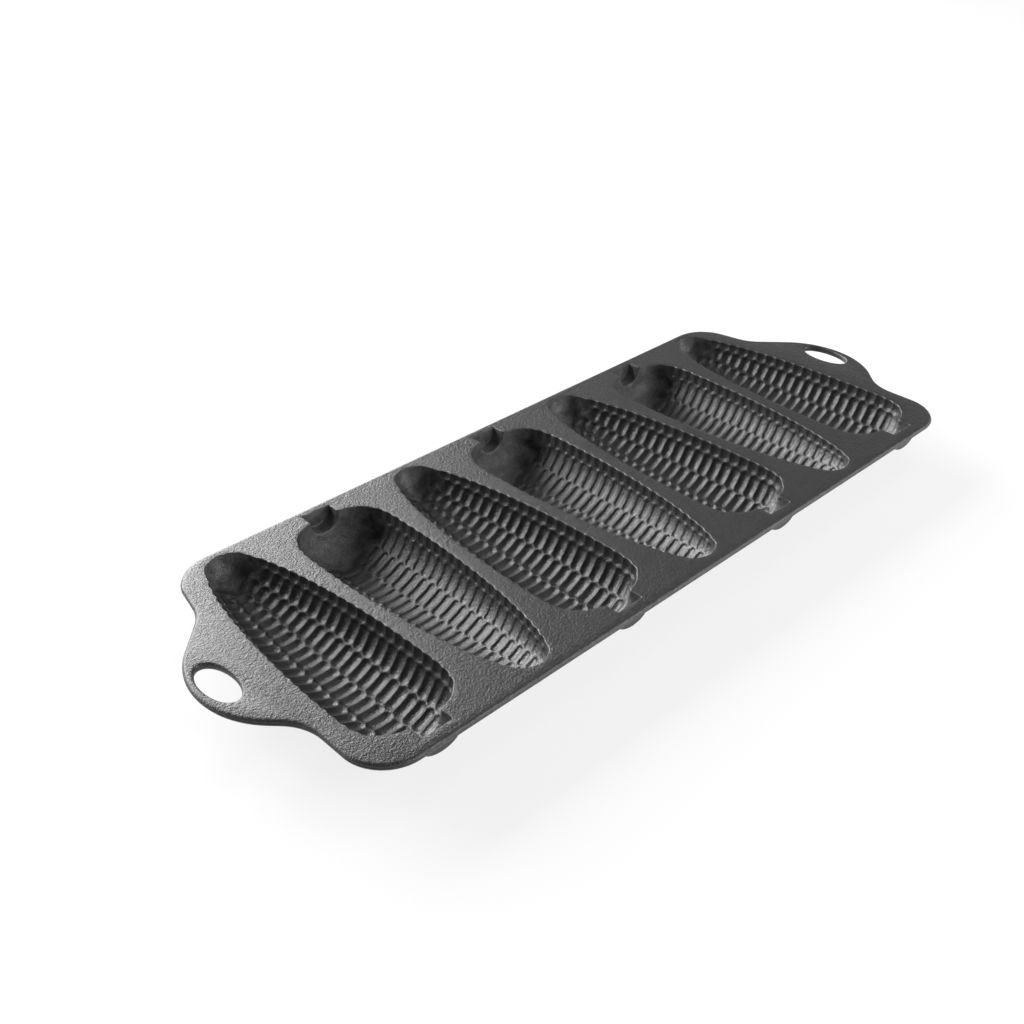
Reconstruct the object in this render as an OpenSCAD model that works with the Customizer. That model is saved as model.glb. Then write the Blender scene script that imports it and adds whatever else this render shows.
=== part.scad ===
// Cast iron corn stick pan.
// Seven corn-ear cups hang in one flat deck, butt to tip by turns, with a loop handle at each end.
// X runs along the pan, Y runs to its back edge, and Z = 0 is the surface that the cups stand on.

/* [Ears] */
// Width of a cavity at its widest place
ear_w = 43; // [36:0.5:48]
// Length of a cavity from its widest place to its tip
ear_tip_l = 96; // [84:1:110]
// Length of a cavity from its widest place to its broad end
ear_butt_l = 28.5; // [24:0.5:34]
// Depth of a cavity at its widest place, down to the floors of its kernels
ear_depth = 19.7; // [16:0.1:24]
// Radius of the blunt nose in plan
nose_r = 11.3; // [9:0.1:13]
// Length that the nose takes off the ear's long ellipse
nose_cut = 4; // [2:0.5:6]
// Width of the stem at the broad end
stem_w = 14; // [10:0.5:18]
// Length of the stem
stem_l = 5.9; // [4:0.1:9]

/* [Kernels] */
// Kernels along an ear whose broad end is at the front
front_kernels = 21; // [14:1:24]
// Height of the ridges between those kernels
front_relief = 1.3; // [0.6:0.1:1.6]
// Plain length at the broad end of those ears
front_plain_l = 6.5; // [5:0.5:10]
// Plain length at the tip of those ears
front_tip_l = 11; // [8:0.5:14]
// Kernels along an ear whose broad end is at the back
back_kernels = 22; // [14:1:24]
// Height of the ridges between those kernels
back_relief = 1; // [0.5:0.1:1.6]
// Length of the plain husk at the broad end of those ears, along the middle
husk_l = 25; // [16:0.5:28]
// Length of that husk along the rims
husk_edge_l = 10; // [6:0.5:12]
// Plain length at the tip of those ears
back_tip_l = 5.7; // [4:0.1:10]

/* [Casting] */
// Thickness of the deck
deck_t = 3; // [2.2:0.1:4.5]
// Thickness of a cup's floor
floor_t = 2.3; // [2:0.05:4]
// Width of the lip that a cup adds round its cavity
lip_w = 2; // [1.4:0.1:2.5]
// Metal between two cavities at the narrowest place
web_w = 5.5; // [4.8:0.1:10]
// How far each cup's underside is flattened where it stands
foot_cut = 0.5; // [0.3:0.1:0.8]

/* [Deck] */
// Metal between the back edge and the nearest cavity
back_margin = 3.9; // [3:0.1:8]
// Metal between the front edge and the nearest cavity
front_margin = 5.4; // [3:0.1:10]
// Metal between the last cavity and the end of the deck, near the front
end_margin = 7.75; // [5:0.25:14]
// How much further in the end of the deck lies at its back shoulder
shoulder_step = 6.9; // [4:0.1:9]
// Distance of that shoulder from the back edge
shoulder_back = 19; // [16:0.5:22]
// Lean of the end of the deck at that shoulder, in degrees
shoulder_lean = 12; // [6:1:16]
// Radius of the four corners of the deck
corner_r = 18; // [12:0.5:19]

/* [Handles] */
// How far a handle reaches past the end of the deck
handle_reach = 19.05; // [17:0.5:24]
// Outer radius of a handle
handle_r = 36; // [32:0.5:38]
// Angle from the length of the pan to the normal of a handle's flank, in degrees
flank_angle = 44; // [40:1:48]
// Distance of a handle's middle behind the middle of the pan
handle_shift = 1.5; // [0:0.1:3]
// Radius of the hollow where a handle's back flank meets the deck
back_fillet_r = 17.5; // [12:0.5:20]
// Radius of the hollow where a handle's front flank meets the deck
front_fillet_r = 20; // [12:0.5:24]
// Width of the metal outside a handle's hole
handle_rim_w = 3.3; // [2.8:0.1:5]
// Width of a handle's hole along the pan
hole_w = 11.6; // [9:0.1:12]
// Length of a handle's hole across the pan
hole_l = 23.5; // [18:0.5:30]
// Distance of a handle's hole behind the middle of the pan
hole_shift = 3.7; // [0:0.1:5]
// Distance from the end of the deck to the plane where a handle starts
root_gap = 1.65; // [1.4:0.05:1.8]

/* [Hidden] */

// Number of ears side by side
ear_count = 7;

// The long side of an ear is an ellipse, and its broad end is a squarer curve with these powers.
butt_power = 4;
butt_root = 2.5;
// A cavity gets shallower a little more slowly than it gets narrower.
depth_power = 0.85;

// Places of the sections at the broad end, as shares of its length.
front_butt_shares = [1, 0.965, 0.88];
back_butt_shares = [1, 0.965, 0.9, 0.8];
// Where the grid of kernels starts at the broad end of an ear, as shares of its length.
front_start_share = 0.788;
back_start_share = 0.661;
// Places of the sections in a plain tip, as shares of its length.
plain_tip_shares = [0.62, 0.22];

// Five whole rows of kernels and half a row at each edge share the half turn of a section.
whole_rows = 5;
half_turn = 180;
edge_row = (whole_rows + 1) / 2;
// Places of the grid lines within one row, as shares of its width from its middle.
row_shares = [-0.5, -0.27, 0.27];
// Further than this share from the middle of its row a grid line runs on a ridge.
ridge_share = 0.4;
// Relief left in the half rows at the rims, as shares of the relief.
front_rim_share = 0.35;
back_rim_share = 0.5;
columns = [
    -edge_row,
    for (row = [-(edge_row - 1) : edge_row - 1]) for (share = row_shares) row + share,
    edge_row - 0.5,
    edge_row
];
// Flats of a cup's underside from rim to rim, an odd number so that one faces the floor.
shell_flats = 9;
// The underside has these sections of the cavity at its broad end, then every few, then the last ones.
shell_first_sections = [0, 1, 2, 3, 4, 6, 9];
shell_last_sections = 3;
shell_stride = 14;
arc_steps = 12;
hole_steps = 48;

half_w = ear_w / 2;
pan_h = ear_depth + floor_t;
deck_z = pan_h - deck_t;
ear_l = ear_tip_l + ear_butt_l + stem_l;
pan_w = ear_l + back_margin + front_margin;
back_y = pan_w / 2;
front_ear_y = back_y - back_margin - ear_tip_l;
back_ear_y = back_y - back_margin - stem_l - ear_butt_l;
// Two neighbours come nearest midway between their widest places.
near_v = (back_ear_y - front_ear_y) / 2;
ear_pitch = 2 * half_width(near_v, 0) + web_w;
last_ear_x = ear_pitch * (ear_count - 1) / 2;
end_x = last_ear_x + half_w + end_margin;
root_x = end_x + root_gap;
handle_x = end_x + handle_reach - handle_r;
hole_x = end_x + handle_reach - handle_rim_w - hole_w / 2;
// How far a cutting shape runs past what it cuts.
overrun = 2 * end_x;

function unit(v) = v / norm(v);

// Half width of an ear at v along its axis, grown outwards by g.
function half_width(v, g) =
    v <= -(ear_butt_l + g) ? stem_w / 2 + g
    : v < 0 ? max(stem_w / 2 + g, butt_width(-v / (ear_butt_l + g), half_w + g))
    : min(side_width(v / (ear_tip_l + nose_cut + g), half_w + g), nose_width(v - ear_tip_l + nose_r, nose_r + g));
function butt_width(share, w) = w * pow(1 - pow(share, butt_power), 1 / butt_root);
function side_width(share, w) = w * sqrt(1 - share * share);
function nose_width(past, r) = past <= 0 ? ear_w : sqrt(max(0, r * r - past * past));

// The place on the grown outline that answers to v on the cavity's own.
function grown(v, g) =
    v <= -ear_butt_l ? v - g
    : v < 0 ? v * (ear_butt_l + g) / ear_butt_l
    : v * (ear_tip_l + g) / ear_tip_l;

// Angle of a grid line from the bottom of a section, with rows of equal width round an ellipse.
function column_angle(u, w, d) =
    let(turn = half_turn / (2 * edge_row))
    turn * u - (180 / PI) * (1 - d / w) / 4 * sin(2 * turn * u);

// 1 where a grid point lies in a kernel, 0 on a ridge: neighbouring rows are half a kernel apart.
function in_kernel(u, step) =
    abs(u - round(u)) > ridge_share ? 0
    : (step + round(u)) % 2 == 0 ? 1 : 0;

// Kernels of one kind of ear, as [relief, rim share, plain length along the middle, along the rims].
front_kind = [front_relief, front_rim_share, front_plain_l, front_plain_l];
back_kind = [back_relief, back_rim_share, husk_l, husk_edge_l];

// Where the kernels start on grid line u: the plain end reaches furthest along the middle.
function kernel_start(u, kind) = kind[2] + (kind[3] - kind[2]) * abs(u) / edge_row - ear_butt_l;

// Height of a grid point over the deepest surface: step is -1 in a plain section.
function inset(v, u, step, kind) =
    let(relief = kind[0] * (abs(u) == edge_row ? kind[1] : 1))
    step < 0 || v < kernel_start(u, kind) ? relief / 2 : relief * (1 - in_kernel(u, step));

// One point of the cavity: it moves in from the envelope along the section's normal.
function cavity_point(v, u, step, kind) =
    let(
        w = half_width(v, 0),
        d = ear_depth * pow(w / half_w, depth_power),
        a = column_angle(u, w, d),
        n = unit([d * sin(a), w * cos(a)]),
        e = inset(v, u, step, kind)
    )
    [w * sin(a) - e * n.x, v, pan_h - (d * cos(a) - e * n.y)];

// One section of the underside: upright for the deck's thickness, then half an ellipse.
function shell_section(v) =
    let(
        w = half_width(v, lip_w),
        d = (deck_z + foot_cut) * w / (half_w + lip_w)
    )
    [
        [-w, v, pan_h],
        for (k = [0 : shell_flats])
            let(a = half_turn * k / shell_flats)
            [-w * cos(a), v, max(0, deck_z - d * sin(a))],
        [w, v, pan_h]
    ];

// Sections of an ear as [v, step], from the end of its stem towards its tip.
function front_sections() =
    let(
        start = -front_start_share * ear_butt_l,
        end = ear_tip_l - front_tip_l,
        steps = 2 * front_kernels
    )
    [
        [-ear_butt_l - stem_l, -1],
        for (share = front_butt_shares) [-share * ear_butt_l, -1],
        for (k = [0 : steps]) [start + (end - start) * k / steps, k],
        for (share = plain_tip_shares) [ear_tip_l - share * front_tip_l, -1]
    ];
function back_sections() =
    let(
        start = -back_start_share * ear_butt_l,
        end = ear_tip_l - back_tip_l,
        steps = 2 * back_kernels
    )
    [
        [-ear_butt_l - stem_l, -1],
        for (share = back_butt_shares) [-share * ear_butt_l, -1],
        for (k = [0 : steps]) [start + (end - start) * k / steps, k],
        for (share = plain_tip_shares) [ear_tip_l - share * back_tip_l, -1]
    ];

// The sections of the cavity that the underside has too.
function shell_picks(n) =
    [
        each shell_first_sections,
        for (i = [max(shell_first_sections) + 1 : n - 1])
            if (i % shell_stride == 0 || i >= n - shell_last_sections) i
    ];

// Outline of a cup in the deck, round from its stem to its tip and back.
function cup_outline(sections) =
    let(
        picks = shell_picks(len(sections)),
        side = [for (i = picks) let(v = grown(sections[i][0], lip_w)) [half_width(v, lip_w), v]]
    )
    [
        for (p = side) [-p.x, p.y],
        [0, ear_tip_l + lip_w],
        for (k = [len(side) - 1 : -1 : 0]) side[k]
    ];

// Two triangles for each cell of a grid that starts at point first.
function grid_faces(first, rows, cols, flip) =
    [
        for (i = [0 : rows - 2], j = [0 : cols - 2])
            let(
                a = first + i * cols + j,
                b = a + 1,
                c = a + cols + 1,
                d = a + cols
            )
            each flip ? [[a, c, b], [a, d, c]] : [[a, b, c], [a, c, d]]
    ];

// A cup is one closed skin: the cavity, the lip round it, and the underside.
module cup(sections, kind) {
    n = len(sections);
    cols = len(columns);
    picks = shell_picks(n);
    m = len(picks);
    shell_cols = shell_flats + 3;
    inner_tip = n * cols;
    shell = inner_tip + 1;
    tip_top = shell + m * shell_cols;
    tip_low = tip_top + 1;
    points = [
        for (s = sections) for (u = columns) cavity_point(s[0], u, s[1], kind),
        [0, ear_tip_l - kind[0] / 2, pan_h],
        for (i = picks) each shell_section(grown(sections[i][0], lip_w)),
        [0, ear_tip_l + lip_w, pan_h],
        [0, ear_tip_l + lip_w, deck_z]
    ];
    last = (n - 1) * cols;
    last_shell = shell + (m - 1) * shell_cols;
    faces = [
        each grid_faces(0, n, cols, false),
        for (j = [0 : cols - 2]) [last + j, last + j + 1, inner_tip],
        [for (j = [cols - 1 : -1 : 0]) j],
        each grid_faces(shell, m, shell_cols, true),
        for (j = [1 : shell_cols - 3]) [last_shell + j + 1, last_shell + j, tip_low],
        [last_shell + 1, last_shell, tip_top, tip_low],
        [last_shell + shell_cols - 1, last_shell + shell_cols - 2, tip_low, tip_top],
        [for (j = [0 : shell_cols - 1]) shell + j],
        [cols - 1, 0, shell, shell + shell_cols - 1],
        for (k = [0 : m - 2])
            [
                for (i = [picks[k] : picks[k + 1]]) i * cols,
                shell + (k + 1) * shell_cols,
                shell + k * shell_cols
            ],
        for (k = [0 : m - 2])
            [
                for (i = [picks[k + 1] : -1 : picks[k]]) i * cols + cols - 1,
                shell + k * shell_cols + shell_cols - 1,
                shell + (k + 1) * shell_cols + shell_cols - 1
            ],
        [last, inner_tip, tip_top, last_shell],
        [inner_tip, last + cols - 1, last_shell + shell_cols - 1, tip_top]
    ];
    polyhedron(points, faces);
}

// Ears with their broad end at the front stand at the odd places, counted from the left.
function is_front(i) = i % 2 == 1;

// Puts what follows at ear i, with +Y of the ear towards its tip.
module at_ear(i) {
    translate([(i - (ear_count + 1) / 2) * ear_pitch, is_front(i) ? front_ear_y : back_ear_y, 0])
        rotate([0, 0, is_front(i) ? 0 : 180])
            children();
}

// Arc of radius b[2] that rounds the corner b between the corners a and c.
function corner_arc(a, b, c) =
    let(
        p = [b.x, b.y],
        d1 = unit([a.x, a.y] - p),
        d2 = unit([c.x, c.y] - p),
        half = acos(d1 * d2) / 2,
        middle = p + unit(d1 + d2) * b[2] / sin(half),
        from = p + d1 * b[2] / tan(half) - middle,
        turn = (half_turn - 2 * half) * (cross(d1, d2) > 0 ? -1 : 1)
    )
    [
        for (k = [0 : arc_steps])
            let(t = turn * k / arc_steps)
            middle + [from.x * cos(t) - from.y * sin(t), from.x * sin(t) + from.y * cos(t)]
    ];

// Corners of the right half of the pan, as [x, y, radius], from the back to the front.
function right_corners() =
    let(
        shoulder = [end_x - shoulder_step, back_y - shoulder_back],
        lean = tan(shoulder_lean),
        slope = tan(flank_angle),
        apex = handle_x + handle_r / cos(flank_angle),
        back_waist_y = (apex + slope * handle_shift - shoulder.x - lean * shoulder.y) / (slope - lean),
        front_waist_y = handle_shift - (apex - end_x) / slope
    )
    [
        [shoulder.x - lean * shoulder_back, back_y, corner_r],
        [apex - slope * (back_waist_y - handle_shift), back_waist_y, back_fillet_r],
        [apex, handle_shift, handle_r],
        [end_x, front_waist_y, front_fillet_r],
        [end_x, -back_y, corner_r]
    ];

// The whole outline is the right half and its mirror image.
function pan_outline() =
    let(
        right = right_corners(),
        left = [for (k = [len(right) - 1 : -1 : 0]) [-right[k].x, right[k].y, right[k][2]]],
        corners = concat(right, left),
        n = len(corners)
    )
    [for (k = [0 : n - 1]) each corner_arc(corners[(k + n - 1) % n], corners[k], corners[(k + 1) % n])];

// Everything to the right of a plane across the pan.
module right_of(x) {
    translate([x, -overrun / 2, -overrun / 2])
        cube(overrun);
}

// Runs an outline through the deck and well past both its faces.
module through_cut() {
    translate([0, 0, -overrun / 2])
        linear_extrude(overrun)
            children();
}

// The deck is parted in the middle, between the stem and the tip of the middle ear.
module right_deck() {
    color("dimgray")
        translate([0, 0, deck_z])
            difference() {
                linear_extrude(deck_t)
                    polygon(pan_outline());
                right_of(root_x);
                mirror([1, 0, 0])
                    right_of(0);
                for (i = [1 : ear_count])
                    at_ear(i)
                        through_cut()
                            polygon(cup_outline(is_front(i) ? front_sections() : back_sections()));
            }
}

module left_deck() {
    mirror([1, 0, 0])
        right_deck();
}

// The part of the outline past the root plane, with an oval hole to hang or hold it by.
module right_handle() {
    color("gray")
        translate([0, 0, deck_z])
            difference() {
                intersection() {
                    linear_extrude(deck_t)
                        polygon(pan_outline());
                    right_of(root_x);
                }
                translate([hole_x, hole_shift, 0])
                    through_cut()
                        polygon([
                            for (k = [0 : hole_steps - 1])
                                let(a = 2 * half_turn * k / hole_steps)
                                [hole_w / 2 * cos(a), hole_l / 2 * sin(a)]
                        ]);
            }
}

module left_handle() {
    mirror([1, 0, 0])
        right_handle();
}

module corn_cup(i) {
    color(is_front(i) ? "darkslategray" : "slategray")
        at_ear(i)
            if (is_front(i))
                cup(front_sections(), front_kind);
            else
                cup(back_sections(), back_kind);
}

left_deck();
right_deck();
left_handle();
right_handle();
for (i = [1 : ear_count])
    corn_cup(i);
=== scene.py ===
import math

import bmesh
import bpy
import numpy as np
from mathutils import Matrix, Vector
from mathutils.geometry import tessellate_polygon


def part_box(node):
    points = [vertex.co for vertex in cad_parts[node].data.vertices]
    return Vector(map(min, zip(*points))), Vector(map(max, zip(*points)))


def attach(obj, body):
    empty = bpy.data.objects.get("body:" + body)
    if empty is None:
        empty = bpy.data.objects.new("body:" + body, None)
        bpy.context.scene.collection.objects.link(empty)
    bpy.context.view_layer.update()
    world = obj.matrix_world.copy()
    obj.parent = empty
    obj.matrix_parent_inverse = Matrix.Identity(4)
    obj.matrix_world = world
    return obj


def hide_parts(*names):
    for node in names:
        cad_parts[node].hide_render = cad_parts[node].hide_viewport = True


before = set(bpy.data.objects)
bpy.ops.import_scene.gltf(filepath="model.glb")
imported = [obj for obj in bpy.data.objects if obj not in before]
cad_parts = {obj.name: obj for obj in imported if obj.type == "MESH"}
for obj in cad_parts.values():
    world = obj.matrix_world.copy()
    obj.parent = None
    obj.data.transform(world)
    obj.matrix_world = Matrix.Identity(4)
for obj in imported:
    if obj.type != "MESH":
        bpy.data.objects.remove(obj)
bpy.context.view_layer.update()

# Looks of the cast iron corn stick pan. Lengths are millimetres up to the making of a mesh.
MM = 0.001

# The ears: an ellipse along each side, a squarer curve round the broad end, and a short stem.
# v runs along an ear from its widest place, towards the tip, and x runs across it.
EAR_COUNT = 7
EAR_W = 43.0
TIP_L = 96.0
BUTT_L = 28.5
EAR_DEPTH = 19.7
NOSE_R = 11.3
NOSE_CUT = 4.0
STEM_W = 14.0
STEM_L = 5.9
BUTT_POWER = 4.0
BUTT_ROOT = 2.5
DEPTH_POWER = 0.85
LIP_W = 2.0
FOOT_CUT = 0.5

# The deck and its handles.
SHOULDER_STEP = 6.9
SHOULDER_BACK = 19.0
SHOULDER_LEAN = math.radians(12.0)
CORNER_R = 18.0
HANDLE_REACH = 19.05
HANDLE_R = 36.0
FLANK_ANGLE = math.radians(44.0)
HANDLE_SHIFT = 1.5
BACK_FILLET_R = 17.5
FRONT_FILLET_R = 20.0
HANDLE_RIM_W = 3.3
HOLE_W = 11.6
HOLE_L = 23.5
HOLE_SHIFT = 3.7
ROOT_GAP = 1.65

# Rounded edges of the casting, its draft, and how much shallower the stems' undersides are.
RIM_R = 1.4
HOLE_EDGE_R = 0.9
DRAFT = 0.18
LIP_R = 0.45
FILLET_R = 0.8
CORNER_SOFT = 0.55
STEM_TRIM = 0.2

# Kernel rows: five whole ones and half a row at each edge share the half turn of a section.
EDGE_ROW = 3
# The pitch of the kernels is the length from start to end over their number. first and last bound the
# middles of the pits in the middle row, the next two, and the half row at the edge. wall holds the two
# distances from a pit's middle, in half pitches, between which its side rises, and roundness is the
# power of that rise. end_share is the share of a half pitch that a pit's rounded end takes in its row.
# row_shares is the relief left in each row. Painted shade lies towards the tip (1) or the broad end (-1).
FRONT_EAR = {
    "kernels": 21,
    "relief": 0.85,
    "start": -22.95,
    "end": TIP_L - 11.5,
    "first": (-20.0, -21.0, -20.0, -21.0),
    "last": (80.5, 83.0, 80.5, 83.0),
    "wall": (0.0, 0.96),
    "roundness": 2.0,
    "end_share": 0.9,
    "row_shares": (1.0, 1.0, 1.0, 0.6),
    "painted_shade_side": 1,
}
BACK_EAR = {
    "kernels": 22,
    "relief": 0.55,
    "start": -19.4,
    "end": TIP_L - 6.3,
    "first": (-9.6, -12.5, -10.5, -17.5),
    "last": (91.0, 88.5, 91.0, 88.5),
    "wall": (0.3, 0.66),
    "roundness": 1.2,
    "end_share": 0.6,
    "row_shares": (1.0, 1.0, 0.6, 0.7),
    "painted_shade_side": -1,
}
# Distances from the nearest pit, in half pitches, over which the surface turns plain and the painted shade
# beside the pits comes and goes. The painted shade also fades towards the middle row and the ear's widest
# place.
PLAIN_REACH = (1.3, 2.3)
PAINTED_SHADE_COMES = (0.9, 1.6)
PAINTED_SHADE_GOES = (2.2, 4.5)
PAINTED_SHADE_ROWS = (0.2, 1.6)
PAINTED_SHADE_FADE_L = 10
# The relief fades out where half a section is narrower than this.
CALM_W = 4
# Wear of the ridges above this share of their height, and of the plates' edges.
RIDGE_TOP = 0.8
RIDGE_WEAR = 0.5
EDGE_WEAR = 0.25

# Mesh spacing: millimetres, or points in one stretch.
RAW_STEP = 0.1
ROW_STEP = 0.38
OUTLINE_STEP = 1.2
STEM_END_POINTS = 40
STEM_POINTS = 60
BUTT_POINTS = 900
SIDE_POINTS = 800
NOSE_POINTS = 300
CAVITY_COLS = 145
ARC_POINTS = 5
UNDER_COLS = 44
HOLE_POINTS = 96
CORNER_POINTS = 6
# Points on the broad end crowd towards the stem by this power.
BUTT_CROWDING = 3
# How far, in radii, the softening of corners looks along a path.
SOFT_REACH = 4
# Faces that meet more sharply than this show a crease.
CREASE_ANGLE = math.radians(60)
# Points this near to each other, in metres, are one.
WELD_GAP = 1e-7
# Lengths and areas are never divided by less than these.
TINY = 1e-6
TINY_AREA = 1e-9

# Colours of the iron.
IRON_DARK = (0.024, 0.024, 0.025)
IRON_LIGHT = (0.034, 0.033, 0.032)
SPECKLE = (0.016, 0.016, 0.016)
WORN = (0.13, 0.13, 0.13)
# Painted light: a lighter tone on the plain stretches, such as the husk and the tips of the ears.
PLAIN_PAINTED_LIGHT = (0.1, 0.1, 0.098)
# Painted shade: near-black in the hollow corners beside the pits, where shade falls, and rougher there.
PAINTED_SHADE = (0.006, 0.006, 0.006)
PAINTED_SHADE_ROUGHNESS = 0.75

# Noise in the iron, as (scale, detail, roughness).
GRAIN = (1300, 3, 0.55)
SHEEN_SPOTS = (900, 2, 0.5)
PEBBLES = (600, 2, 0.5)
WAVES = (230, 3, 0.5)
PAINTED_LIGHT_PATCHES = (210, 4, 0.7)
PAINTED_SHADE_PATCHES = (140, 3, 0.6)
BLOTCHES = (38, 4, 0.6)

# Bumps of the iron, as (distance in metres, strength).
GRAIN_BUMP = (0.00033, 0.8)
PEBBLE_BUMP = (0.0003, 0.4)
WAVE_BUMP = (0.0006, 0.2)

# The studio, in metres. Each light is (name, place, size, power).
FLOOR_HALF = 6.0
FLOOR_COLOUR = (0.9, 0.9, 0.9)
FLOOR_GLOW = 0.8
HORIZON = {"From Min": 0.14, "From Max": 0.3, "To Min": 0.9, "To Max": 0.05}
LIGHTS = [
    ("back_softbox", (-0.12, 1.36, 0.64), (1.8, 0.85), 62),
    ("front_right", (0.8, -1.1, 0.6), (1.1, 0.5), 7),
    ("front_low", (0.7, -1.25, 0.28), (1.2, 0.4), 9),
    ("right_high", (0.75, -0.1, 1.3), (0.5, 0.5), 3),
    ("front_high", (0.0, -1.1, 1.0), (0.5, 0.5), 3),
]
SENSOR_W = 36
LENS = 42.58
CAMERA_X = -0.31944
CAMERA_Y = -0.28699
CAMERA_OVER_DECK = 0.27387
CAMERA_DOWN = 33.697
CAMERA_TURN = -43.761

HALF_W = EAR_W / 2
DECK_LOW, DECK_TOP = (corner[2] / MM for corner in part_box("right_deck"))
PAN_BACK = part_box("right_deck")[1][1] / MM
END_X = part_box("right_handle")[1][0] / MM - HANDLE_REACH
ROOT_X = END_X + ROOT_GAP


def smoothstep(low, high, x):
    t = np.clip((x - low) / (high - low), 0, 1)
    return t * t * (3 - 2 * t)


def half_width(v, g):
    """Half width of an ear at v along its axis, grown outwards by g."""
    v = np.asarray(v, float)
    stem = STEM_W / 2 + g
    share = np.clip(-v / (BUTT_L + g), 0, 1)
    butt = np.maximum(stem, (HALF_W + g) * (1 - share**BUTT_POWER) ** (1 / BUTT_ROOT))
    side = (HALF_W + g) * np.sqrt(np.clip(1 - (v / (TIP_L + NOSE_CUT + g)) ** 2, 0, 1))
    past = v - TIP_L + NOSE_R
    radius = NOSE_R + g
    nose = np.where(past <= 0, EAR_W, np.sqrt(np.clip(radius**2 - past**2, 0, None)))
    return np.where(v < 0, butt, np.minimum(side, nose))


def path_length(path):
    return np.hypot(*np.diff(path[:, :2], axis=0).T).sum()


def resample(path, places):
    """Points of a path at these lengths along it."""
    steps = np.hypot(*np.diff(path[:, :2], axis=0).T)
    along = np.r_[0, np.cumsum(steps)]
    return np.stack([np.interp(places, along, column) for column in path.T], axis=1)


def softened(path, radius):
    """A path with its corners rounded, mirrored in the ear's axis past both of its ends."""
    reach = int(SOFT_REACH * radius / RAW_STEP)
    weights = np.exp(-0.5 * (np.arange(-reach, reach + 1) * RAW_STEP / radius) ** 2)
    weights /= weights.sum()
    flip = np.tile([-1.0, 1.0], path.shape[1] // 2)
    before = path[reach:0:-1] * flip
    after = path[-2 : -reach - 2 : -1] * flip
    padded = np.concatenate([before, path, after])
    smooth = [np.convolve(column, weights, "valid") for column in padded.T]
    smooth = np.stack(smooth, axis=1)
    smooth[[0, -1]] = path[[0, -1]]
    return smooth


def ear_rows():
    """Rows of an ear, from the middle of its stem's end to its tip.

    Each row holds (x, v) of the cavity's rim, then (x, v) of the cup's outside.
    """
    stem_end = -BUTT_L - STEM_L
    along = np.concatenate([
        np.full(STEM_END_POINTS, stem_end),
        np.linspace(stem_end, -BUTT_L, STEM_POINTS),
        -BUTT_L * (1 - np.linspace(0, 1, BUTT_POINTS) ** BUTT_CROWDING),
        np.linspace(0, TIP_L - NOSE_R, SIDE_POINTS)[1:],
        TIP_L - NOSE_R + NOSE_R * np.sin(np.linspace(0, math.pi / 2, NOSE_POINTS))[1:],
    ])
    x = half_width(along, 0)
    x[:STEM_END_POINTS] = np.linspace(0, STEM_W / 2, STEM_END_POINTS)
    x[-1] = 0
    butt_grown = along * (BUTT_L + LIP_W) / BUTT_L
    tip_grown = along * (TIP_L + LIP_W) / TIP_L
    grown = np.where(along <= -BUTT_L, along - LIP_W, np.where(along < 0, butt_grown, tip_grown))
    grown_x = half_width(grown, LIP_W)
    grown_x[:STEM_END_POINTS] = np.linspace(0, STEM_W / 2 + LIP_W, STEM_END_POINTS)
    grown_x[-1] = 0
    raw = np.stack([x, along, grown_x, grown], axis=1)
    raw = resample(raw, np.arange(0, path_length(raw), RAW_STEP))
    raw[-1] = [0, TIP_L, 0, TIP_L + LIP_W]
    soft = softened(raw, CORNER_SOFT)
    length = path_length(soft)
    return resample(soft, np.linspace(0, length, int(length / ROW_STEP)))


def outward(path):
    """Unit normals in plan of a path that runs from the stem's end to the tip, on its +X side."""
    ahead = np.gradient(path, axis=0)
    ahead /= np.linalg.norm(ahead, axis=1, keepdims=True)
    normal = np.stack([ahead[:, 1], -ahead[:, 0]], axis=1)
    normal[0] = [0, -1]
    normal[-1] = [0, 1]
    return normal


def kernel_pattern(v, u, row_w, ear):
    """Height over the pits' floors, painted shade and plainness, each from 0 to 1.

    The pits are staggered from row to row, with ridges round them. u counts the rows from the middle.
    """
    pitch = (ear["end"] - ear["start"]) / ear["kernels"]
    radius = pitch / 2
    core = np.clip(row_w / 2 - ear["end_share"] * radius, 0, None)
    first, last = np.array(ear["first"]), np.array(ear["last"])
    nearest = np.full(v.shape, np.inf)
    for side in (0, 1):
        row = np.floor(u) + side
        kind = np.clip(np.abs(row), 0, EDGE_ROW).astype(int)
        origin = ear["start"] + np.where(row % 2 == 0, 0.0, radius)
        low = np.ceil((first[kind] - origin) / pitch)
        high = np.floor((last[kind] - origin) / pitch)
        place = (v - origin) / pitch
        along = (place - np.clip(np.round(place), low, high)) * pitch
        across = np.clip(np.abs(u - row) * row_w - core, 0, None)
        nearest = np.minimum(nearest, np.hypot(across, along))
    reach = nearest / radius
    plain = smoothstep(*PLAIN_REACH, reach)
    foot, top = ear["wall"]
    rise = np.clip((reach - foot) / (top - foot), 0, 1) ** ear["roundness"]
    height = rise * (1 - plain) + plain / 2
    # Painted shade: dark in the corners beside the pits, off the middle row, and towards the back of the pan
    # on both kinds of ear.
    painted_shade = smoothstep(*PAINTED_SHADE_COMES, reach) * (1 - smoothstep(*PAINTED_SHADE_GOES, reach))
    painted_shade = painted_shade * smoothstep(*PAINTED_SHADE_ROWS, np.abs(u))
    painted_shade = painted_shade * smoothstep(0, PAINTED_SHADE_FADE_L, v * ear["painted_shade_side"])
    return height, painted_shade, plain


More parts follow.
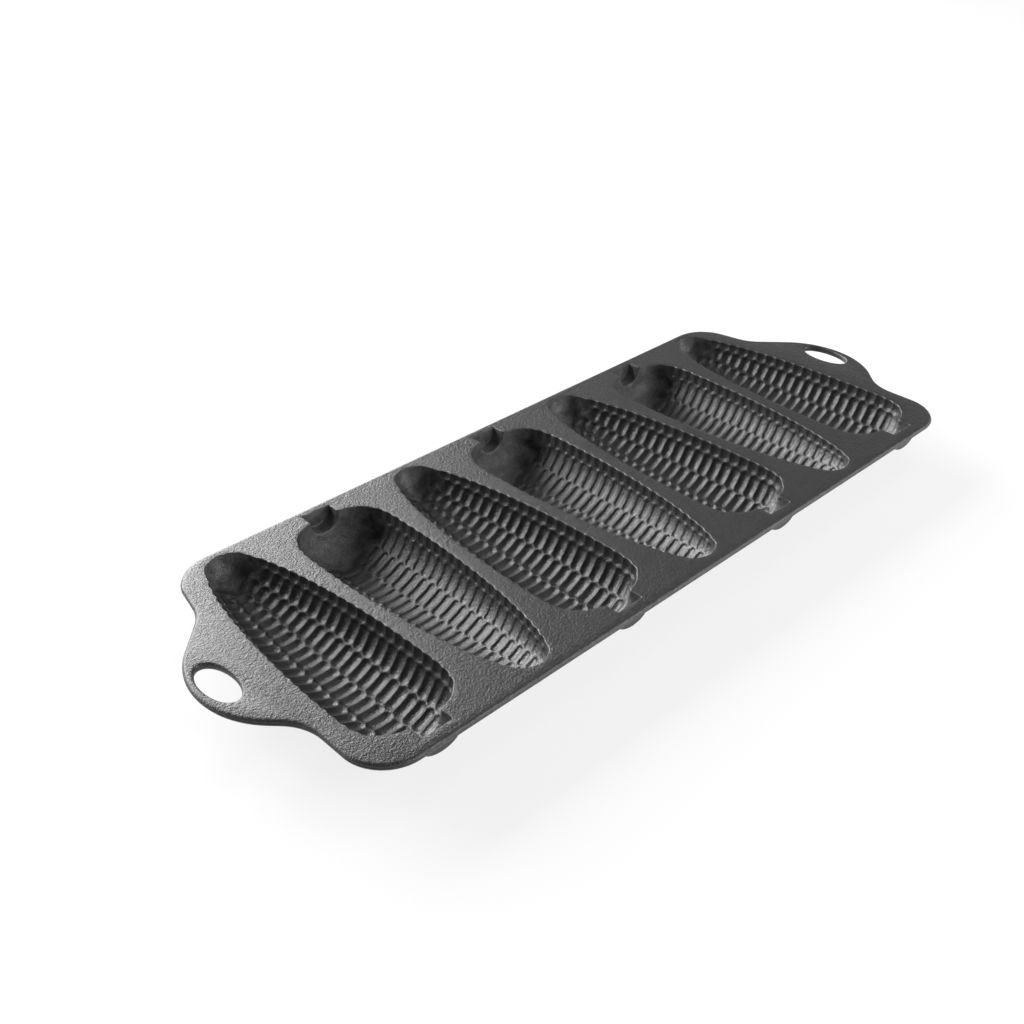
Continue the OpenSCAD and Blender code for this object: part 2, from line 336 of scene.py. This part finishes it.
def cavity_grid(rows, ear):
    """Points of the cavity, rim to rim in each row, with the wear, the painted shade and the plainness of
    each.
    """
    x, v = rows[:, 0:1], rows[:, 1:2]
    wall_x = np.clip(x - LIP_R / 2, 0, None)
    depth = EAR_DEPTH * (x / HALF_W) ** DEPTH_POWER
    drop = np.clip(depth - LIP_R, 0, None)
    u = np.linspace(-EDGE_ROW, EDGE_ROW, CAVITY_COLS)[None, :]
    # The angle at which the rows are nearly equally wide round the half ellipse of a section.
    turn = math.pi / (2 * EDGE_ROW)
    ratio = depth / np.maximum(x, TINY)
    angle = turn * u - (1 - ratio) / 4 * np.sin(2 * turn * u)
    shape = angle.shape
    floor_z = DECK_TOP - LIP_R - drop * np.cos(angle)
    points = np.stack([wall_x * np.sin(angle), np.broadcast_to(v, shape), floor_z], axis=2)
    normal = np.cross(np.gradient(points, axis=1), np.gradient(points, axis=0))
    normal = normal / np.maximum(np.linalg.norm(normal, axis=2, keepdims=True), TINY_AREA)
    perimeter = math.pi * np.sqrt((x**2 + depth**2) / 2)
    row_w = perimeter / (2 * EDGE_ROW)
    height, painted_shade, plain = kernel_pattern(np.broadcast_to(v, shape), np.broadcast_to(u, shape), row_w, ear)
    calm = smoothstep(0, CALM_W, x) * np.interp(np.abs(u), range(EDGE_ROW + 1), ear["row_shares"])
    points = points + normal * (height * calm * ear["relief"])[:, :, None]
    points[:, [0, -1], 2] = DECK_TOP - LIP_R
    wear = RIDGE_WEAR * smoothstep(RIDGE_TOP, 1.0, height)
    return points, wear, painted_shade, plain


def rim_rings(edge, rim_out, angles):
    """Rings of the rounded rim, from an edge of the cavity up to the top of the deck."""
    rings = []
    for angle in angles:
        step = LIP_R * (1 - math.cos(angle))
        ring = edge.copy()
        ring[:, 0:2] += rim_out * step
        ring[:, 2] = DECK_TOP - LIP_R + LIP_R * math.sin(angle)
        rings.append(ring)
    return rings


def under_rings(lip):
    """Rings of the fillet below the deck on one side, and of the underside from there to the other side."""
    depth = (DECK_LOW + FOOT_CUT) * lip[:, 0] / (HALF_W + LIP_W)
    depth *= 1 - STEM_TRIM * (1 - smoothstep(-BUTT_L - LIP_W, -BUTT_L + STEM_L, lip[:, 1]))
    lip_out = outward(lip)
    fillet = []
    for angle in np.linspace(0, math.pi / 2, ARC_POINTS + 1):
        step = FILLET_R * (1 - math.sin(angle))
        z = np.full(len(lip), DECK_LOW - FILLET_R + FILLET_R * math.cos(angle))
        ring = np.column_stack([lip + lip_out * step, np.maximum(z, DECK_LOW - np.minimum(depth, FILLET_R))])
        ring[[0, -1], 0] = 0
        fillet.append(ring)
    first = np.arcsin(np.clip(FILLET_R / np.maximum(depth, TINY), 0, 1))
    trough = []
    for share in np.linspace(0, 1, UNDER_COLS)[1:-1]:
        angle = first + (math.pi - 2 * first) * share
        z = np.maximum(0, DECK_LOW - depth * np.sin(angle))
        trough.append(np.column_stack([lip[:, 0] * np.cos(angle), lip[:, 1], z]))
    return fillet, trough


def cup_mesh(name, ear, place_x, place_y, turned):
    """A cup as one closed skin, and its outline in the deck.

    The rings run along the ear: the left lip, the cavity, the right lip, and the underside.
    """
    rows = ear_rows()
    n = len(rows)
    cavity, wear, painted_shade, plain = cavity_grid(rows, ear)
    lip = rows[:, 2:4]
    angles = np.linspace(0, math.pi / 2, ARC_POINTS + 1)[1:]
    fillet, trough = under_rings(lip)
    right = [
        *rim_rings(cavity[:, -1, :], outward(rows[:, 0:2]), angles),
        np.column_stack([lip, np.full(n, DECK_TOP)]),
        np.column_stack([lip, np.full(n, DECK_LOW)]),
        *fillet,
    ]
    left = [ring * [-1, 1, 1] for ring in reversed(right)]
    points = np.stack([*left, *np.moveaxis(cavity, 1, 0), *right, *trough], axis=1)
    cols = points.shape[1]

    inside = slice(len(left), len(left) + CAVITY_COLS)
    wear_grid, painted_shade_grid, plain_grid = np.zeros((3, n, cols))
    wear_grid[:, inside] = wear
    painted_shade_grid[:, inside] = painted_shade
    plain_grid[:, inside] = plain
    for k, angle in enumerate(angles):
        wear_grid[:, inside.stop + k] = math.sin(2 * angle)
        wear_grid[:, inside.start - 1 - k] = math.sin(2 * angle)
    marks = {"wear": wear_grid.reshape(-1), "painted_shade": painted_shade_grid.reshape(-1), "plain": plain_grid.reshape(-1)}

    outline = np.concatenate([lip, (lip * [-1, 1])[::-1][1:-1]])
    if turned:
        points = points * [-1, -1, 1]
        outline = -outline
    points = points + [place_x, place_y, 0]
    outline = outline + [place_x, place_y]
    ids = np.arange(n * cols).reshape(n, cols)
    beside = np.roll(ids, -1, axis=1)
    quads = np.stack([ids[:-1], beside[:-1], beside[1:], ids[1:]], axis=2).reshape(-1, 4)
    return make_piece(name, points.reshape(-1, 3), quads, [], marks), outline


def make_piece(name, points, quads, flats, marks):
    """A mesh object from points in millimetres: smooth quads, flat polygons, and marks on each point."""
    mesh = bpy.data.meshes.new(name)
    faces = [tuple(q) for q in quads.tolist()] + [tuple(f) for f in flats]
    mesh.from_pydata((points * MM).tolist(), [], faces)
    for mark, values in marks.items():
        attribute = mesh.attributes.new(mark, "FLOAT", "POINT")
        attribute.data.foreach_set("value", np.asarray(values, np.float32))
    smooth = np.ones(len(faces), bool)
    smooth[len(quads):] = False
    mesh.polygons.foreach_set("use_smooth", smooth)
    weld(mesh)
    mesh.set_sharp_from_angle(angle=CREASE_ANGLE)
    piece = bpy.data.objects.new(name, mesh)
    bpy.context.scene.collection.objects.link(piece)
    return piece


def weld(mesh):
    """Joins points that coincide and drops the faces that this leaves empty."""
    work = bmesh.new()
    work.from_mesh(mesh)
    bmesh.ops.remove_doubles(work, verts=work.verts, dist=WELD_GAP)
    bmesh.ops.recalc_face_normals(work, faces=work.faces)
    work.to_mesh(mesh)
    work.free()


def corner_arc(before, corner, after, radius):
    """Points of the arc that rounds a corner between two others."""
    d1 = (before - corner) / np.linalg.norm(before - corner)
    d2 = (after - corner) / np.linalg.norm(after - corner)
    half = math.acos(np.dot(d1, d2)) / 2
    bisector = (d1 + d2) / np.linalg.norm(d1 + d2)
    middle = corner + bisector * radius / math.sin(half)
    start = corner + d1 * radius / math.tan(half) - middle
    turn = (math.pi - 2 * half) * (-1 if d1[0] * d2[1] - d1[1] * d2[0] > 0 else 1)
    count = max(CORNER_POINTS, int(abs(turn) * radius / OUTLINE_STEP))
    t = np.linspace(0, turn, count)
    x = start[0] * np.cos(t) - start[1] * np.sin(t)
    y = start[0] * np.sin(t) + start[1] * np.cos(t)
    return middle + np.stack([x, y], axis=1)


def pan_outline():
    """Outline of the deck with its handles, as a closed path in plan."""
    shoulder = np.array([END_X - SHOULDER_STEP, PAN_BACK - SHOULDER_BACK])
    lean, slope = math.tan(SHOULDER_LEAN), math.tan(FLANK_ANGLE)
    handle_x = END_X + HANDLE_REACH - HANDLE_R
    apex = handle_x + HANDLE_R / math.cos(FLANK_ANGLE)
    back_waist = (apex + slope * HANDLE_SHIFT - shoulder[0] - lean * shoulder[1]) / (slope - lean)
    front_waist = HANDLE_SHIFT - (apex - END_X) / slope
    right = [
        ((shoulder[0] - lean * SHOULDER_BACK, PAN_BACK), CORNER_R),
        ((apex - slope * (back_waist - HANDLE_SHIFT), back_waist), BACK_FILLET_R),
        ((apex, HANDLE_SHIFT), HANDLE_R),
        ((END_X, front_waist), FRONT_FILLET_R),
        ((END_X, -PAN_BACK), CORNER_R),
    ]
    corners = right + [((-x, y), r) for (x, y), r in reversed(right)]
    n = len(corners)
    arcs = [
        corner_arc(*(np.array(corners[k % n][0]) for k in (i - 1, i, i + 1)), corners[i][1])
        for i in range(n)
    ]
    return np.concatenate(arcs)


def with_seams(path):
    """The closed path with a point added wherever it crosses a handle's root plane."""
    out = []
    for here, there in zip(path, np.roll(path, -1, axis=0)):
        out.append(here)
        for plane in (-ROOT_X, ROOT_X):
            if (here[0] - plane) * (there[0] - plane) < 0:
                share = (plane - here[0]) / (there[0] - here[0])
                out.append(here + share * (there - here))
    return np.array(out)


def closed_normals(path):
    """Unit normals on the left of a closed path, away from the metal: outlines run clockwise, holes don't."""
    ahead = np.roll(path, -1, axis=0) - path
    ahead /= np.linalg.norm(ahead, axis=1, keepdims=True)
    mean = ahead + np.roll(ahead, 1, axis=0)
    mean /= np.linalg.norm(mean, axis=1, keepdims=True)
    return np.stack([-mean[:, 1], mean[:, 0]], axis=1)


def seam_runs(path, normals):
    """Splits the outline at the handles' root planes: two runs for the deck and one for each handle."""
    on_seam = np.flatnonzero(np.isclose(np.abs(path[:, 0]), ROOT_X))
    path = np.roll(path, -on_seam[0], axis=0)
    normals = np.roll(normals, -on_seam[0], axis=0)
    cuts = [*(on_seam - on_seam[0]), len(path)]
    path = np.concatenate([path, path[:1]])
    normals = np.concatenate([normals, normals[:1]])
    runs = {"deck": [], "right_handle": [], "left_handle": []}
    for start, stop in zip(cuts, cuts[1:]):
        piece = path[start : stop + 1]
        middle = piece[len(piece) // 2, 0]
        owner = "deck" if abs(middle) < ROOT_X else ("right_handle" if middle > 0 else "left_handle")
        runs[owner].append((piece, normals[start : stop + 1]))
    return runs


def hole_path(side):
    """The oval hole of the handle on this side, 1 for the right one and -1 for the left one."""
    middle_x = side * (END_X + HANDLE_REACH - HANDLE_RIM_W - HOLE_W / 2)
    t = np.linspace(0, 2 * math.pi, HOLE_POINTS + 1)[:-1]
    path = np.stack([middle_x + HOLE_W / 2 * np.cos(t), HOLE_SHIFT + HOLE_L / 2 * np.sin(t)], axis=1)
    return path, closed_normals(path)


def edge_profile(radius):
    """A plate's edge as (distance out from the outline, height, wear), from its top face to its lower one."""
    thick = DECK_TOP - DECK_LOW
    top = []
    for t in np.linspace(0, math.pi / 2, ARC_POINTS + 1):
        out = -DRAFT - radius * (1 - math.sin(t))
        height = thick - radius * (1 - math.cos(t))
        top.append((out, height, EDGE_WEAR * math.sin(2 * t)))
    low = [(out, thick - height, worn) for out, height, worn in reversed(top)]
    return np.array([*top, (0, thick / 2, 0), *low])


def swept(path, normals, profile):
    """Points of the profile carried along the path: one row for each point of the path."""
    plan = path[:, None, :] + normals[:, None, :] * profile[None, :, 0:1]
    height = np.broadcast_to(DECK_LOW + profile[None, :, 1], plan.shape[:2])
    return np.concatenate([plan, height[:, :, None]], axis=2)


def plate_mesh(name, runs, holes, openings):
    """A plate of the deck's thickness.

    runs are the stretches of the outline that belong to it, holes have rounded edges, and openings are
    cut square for the cups.
    """
    points, quads, flats, wear = [], [], [], []
    count = 0

    def add_strip(grid, worn, closed):
        """Adds one strip of the plate's side and returns the numbers of its points."""
        nonlocal count
        rows, cols = grid.shape[:2]
        ids = np.arange(rows * cols).reshape(rows, cols) + count
        count += rows * cols
        points.append(grid.reshape(-1, 3))
        wear.append(np.tile(worn, rows))
        loop = np.concatenate([ids, ids[:1]]) if closed else ids
        corners = [loop[:-1, :-1], loop[1:, :-1], loop[1:, 1:], loop[:-1, 1:]]
        quads.append(np.stack(corners, axis=2).reshape(-1, 4))
        return ids

    rim, hole_rim = edge_profile(RIM_R), edge_profile(HOLE_EDGE_R)
    sides = [add_strip(swept(path, normals, rim), rim[:, 2], False) for path, normals in runs]
    inner = [add_strip(swept(path, normals, hole_rim), hole_rim[:, 2], True) for path, normals in holes]
    for path in openings:
        walls = [np.column_stack([path, np.full(len(path), z)]) for z in (DECK_TOP, DECK_LOW)]
        inner.append(add_strip(np.stack(walls, axis=1), np.zeros(2), True))

    points = np.concatenate(points)
    outer = np.concatenate(sides)
    for column in (0, -1):
        loops = [ids[:, column].tolist() for ids in (outer, *inner)]
        loop_ids = [i for loop in loops for i in loop]
        shapes = [[(*points[i, 0:2], 0.0) for i in loop] for loop in loops]
        flats += [tuple(loop_ids[k] for k in triangle) for triangle in tessellate_polygon(shapes)]
    ends = [end.tolist() for ids in sides for end in (ids[0], ids[-1])]
    seams = [(0, 1)] if len(runs) == 1 else [(1, 2), (3, 0)]
    flats += [tuple(ends[here] + ends[there][::-1]) for here, there in seams]
    return make_piece(name, points, np.concatenate(quads), flats, {"wear": np.concatenate(wear)})


def cast_iron():
    """Dark cast iron with a sand-cast grain, a satin sheen that varies, edges rubbed lighter, painted light
    on the plain stretches and painted shade beside the pits.
    """
    material = bpy.data.materials.new("iron_casting")
    material.use_nodes = True
    nodes, links = material.node_tree.nodes, material.node_tree.links
    shader = nodes["Principled BSDF"]
    place = nodes.new("ShaderNodeTexCoord").outputs["Object"]

    def noise(scale, detail, roughness):
        node = nodes.new("ShaderNodeTexNoise")
        node.inputs["Scale"].default_value = scale
        node.inputs["Detail"].default_value = detail
        node.inputs["Roughness"].default_value = roughness
        links.new(place, node.inputs["Vector"])
        return node.outputs["Fac"]

    def spread(value, low, high, to_low, to_high):
        node = nodes.new("ShaderNodeMapRange")
        for key, number in (("From Min", low), ("From Max", high), ("To Min", to_low), ("To Max", to_high)):
            node.inputs[key].default_value = number
        links.new(value, node.inputs["Value"])
        return node.outputs["Result"]

    def bump(height, distance, strength, below=None):
        node = nodes.new("ShaderNodeBump")
        node.inputs["Distance"].default_value = distance
        node.inputs["Strength"].default_value = strength
        links.new(height, node.inputs["Height"])
        if below is not None:
            links.new(below, node.inputs["Normal"])
        return node.outputs["Normal"]

    def mark(name):
        node = nodes.new("ShaderNodeAttribute")
        node.attribute_name = name
        return node.outputs["Fac"]

    def times(a, b):
        node = nodes.new("ShaderNodeMath")
        node.operation = "MULTIPLY"
        links.new(a, node.inputs[0])
        links.new(b, node.inputs[1])
        return node.outputs["Value"]

    def blend(share, first, second):
        node = nodes.new("ShaderNodeMix")
        node.data_type = "RGBA"
        links.new(share, node.inputs[0])
        for socket, colour in ((node.inputs[6], first), (node.inputs[7], second)):
            if isinstance(colour, tuple):
                socket.default_value = (*colour, 1)
            else:
                links.new(colour, socket)
        return node.outputs[2]

    # Each spread takes the band between two values of its input to the two that follow.
    grain = noise(*GRAIN)
    wear = times(mark("wear"), spread(grain, 0.35, 0.7, 0.2, 1))
    # Painted shade in patches, from the mark laid beside the pits.
    painted_shade = times(mark("painted_shade"), spread(noise(*PAINTED_SHADE_PATCHES), 0.38, 0.58, 0, 1))
    # Painted light in patches on the plain stretches.
    plain = times(mark("plain"), spread(noise(*PAINTED_LIGHT_PATCHES), 0.35, 0.65, 0.2, 1))

    iron = blend(spread(noise(*BLOTCHES), 0.3, 0.7, 0, 1), IRON_DARK, IRON_LIGHT)
    speckled = blend(spread(grain, 0.3, 0.62, 0.6, 0), iron, SPECKLE)
    worn = blend(spread(wear, 0, 1, 0, 0.35), speckled, WORN)
    # Painted light: the plain stretches are lightened in patches.
    plain_painted_light = blend(plain, worn, PLAIN_PAINTED_LIGHT)
    # The painted shade goes over all other colours, and makes the surface rougher there.
    links.new(blend(painted_shade, plain_painted_light, PAINTED_SHADE), shader.inputs["Base Color"])
    sheen = blend(painted_shade, spread(noise(*SHEEN_SPOTS), 0.3, 0.7, 0.3, 0.46), (PAINTED_SHADE_ROUGHNESS,) * 3)
    links.new(sheen, shader.inputs["Roughness"])
    shader.inputs["Metallic"].default_value = 0.0
    shader.inputs["Specular IOR Level"].default_value = 0.5
    waves = bump(noise(*WAVES), *WAVE_BUMP)
    pebbles = bump(noise(*PEBBLES), *PEBBLE_BUMP, waves)
    links.new(bump(grain, *GRAIN_BUMP, pebbles), shader.inputs["Normal"])
    return material


def paper_white():
    """A white floor: the camera and reflections see it nearly evenly white, with the pan's shadow on it."""
    material = bpy.data.materials.new("floor_white")
    material.use_nodes = True
    nodes, links = material.node_tree.nodes, material.node_tree.links
    nodes.clear()
    output = nodes.new("ShaderNodeOutputMaterial")
    mix = nodes.new("ShaderNodeMixShader")
    matt = nodes.new("ShaderNodeBsdfDiffuse")
    glow = nodes.new("ShaderNodeEmission")
    rays = nodes.new("ShaderNodeLightPath").outputs
    matt.inputs["Color"].default_value = (*FLOOR_COLOUR, 1)
    glow.inputs["Strength"].default_value = 1.0
    seen = rays["Is Camera Ray"]
    for kind in ("Is Glossy Ray", "Is Transmission Ray"):
        add = nodes.new("ShaderNodeMath")
        add.operation = "ADD"
        add.use_clamp = True
        links.new(seen, add.inputs[0])
        links.new(rays[kind], add.inputs[1])
        seen = add.outputs["Value"]
    share = nodes.new("ShaderNodeMath")
    share.operation = "MULTIPLY"
    share.inputs[1].default_value = FLOOR_GLOW
    links.new(seen, share.inputs[0])
    links.new(share.outputs["Value"], mix.inputs["Fac"])
    links.new(matt.outputs["BSDF"], mix.inputs[1])
    links.new(glow.outputs["Emission"], mix.inputs[2])
    links.new(mix.outputs["Shader"], output.inputs["Surface"])
    return material


def add_floor():
    mesh = bpy.data.meshes.new("floor")
    corners = [(x * FLOOR_HALF, y * FLOOR_HALF, 0) for x, y in ((-1, -1), (1, -1), (1, 1), (-1, 1))]
    mesh.from_pydata(corners, [], [(0, 1, 2, 3)])
    mesh.materials.append(paper_white())
    floor = bpy.data.objects.new("floor", mesh)
    bpy.context.scene.collection.objects.link(floor)


def add_light(name, place, size, power):
    """A rectangular soft light, aimed at the middle of the pan's footprint."""
    light = bpy.data.lights.new(name, "AREA")
    light.shape = "RECTANGLE"
    light.size, light.size_y = size
    light.energy = power
    holder = bpy.data.objects.new(name, light)
    bpy.context.scene.collection.objects.link(holder)
    holder.location = place
    holder.rotation_euler = (-Vector(holder.location)).to_track_quat("-Z", "Y").to_euler()


def add_world():
    """A pale horizon under a dim ceiling."""
    world = bpy.data.worlds.new("studio")
    bpy.context.scene.world = world
    world.use_nodes = True
    nodes, links = world.node_tree.nodes, world.node_tree.links
    way = nodes.new("ShaderNodeTexCoord")
    split = nodes.new("ShaderNodeSeparateXYZ")
    ramp = nodes.new("ShaderNodeMapRange")
    ramp.interpolation_type = "SMOOTHSTEP"
    for key, number in HORIZON.items():
        ramp.inputs[key].default_value = number
    links.new(way.outputs["Generated"], split.inputs["Vector"])
    links.new(split.outputs["Z"], ramp.inputs["Value"])
    links.new(ramp.outputs["Result"], nodes["Background"].inputs["Color"])


def add_camera():
    """The photograph's viewpoint: a pinhole fitted to the pan's outline and its moulds."""
    data = bpy.data.cameras.new("camera")
    data.sensor_width = SENSOR_W
    data.lens = LENS
    camera = bpy.data.objects.new("camera", data)
    bpy.context.scene.collection.objects.link(camera)
    camera.location = (CAMERA_X, CAMERA_Y, CAMERA_OVER_DECK + DECK_TOP * MM)
    camera.rotation_euler = (math.radians(90 - CAMERA_DOWN), 0, math.radians(CAMERA_TURN))
    bpy.context.scene.camera = camera


add_camera()
add_world()
add_floor()
for light in LIGHTS:
    add_light(*light)
bpy.context.scene.view_settings.view_transform = "Standard"

pieces = {}
openings = []
for number in range(1, EAR_COUNT + 1):
    node = f"corn_cup_{number}"
    low, high = (np.array(corner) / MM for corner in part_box(node))
    turned = number % 2 == 0
    ear = BACK_EAR if turned else FRONT_EAR
    middle_x = (low[0] + high[0]) / 2
    middle_y = low[1] + TIP_L + LIP_W if turned else high[1] - TIP_L - LIP_W
    pieces[node,], outline = cup_mesh(f"mould_{number}", ear, middle_x, middle_y, turned)
    openings.append(outline)

edge = with_seams(pan_outline())
runs = seam_runs(edge, closed_normals(edge))
pieces["left_deck", "right_deck"] = plate_mesh("deck_plate", runs["deck"], [], openings)
pieces["right_handle",] = plate_mesh("handle_right", runs["right_handle"], [hole_path(1)], [])
pieces["left_handle",] = plate_mesh("handle_left", runs["left_handle"], [hole_path(-1)], [])

iron = cast_iron()
for nodes, piece in pieces.items():
    piece.data.materials.append(iron)
    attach(piece, "root")
    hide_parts(*nodes)
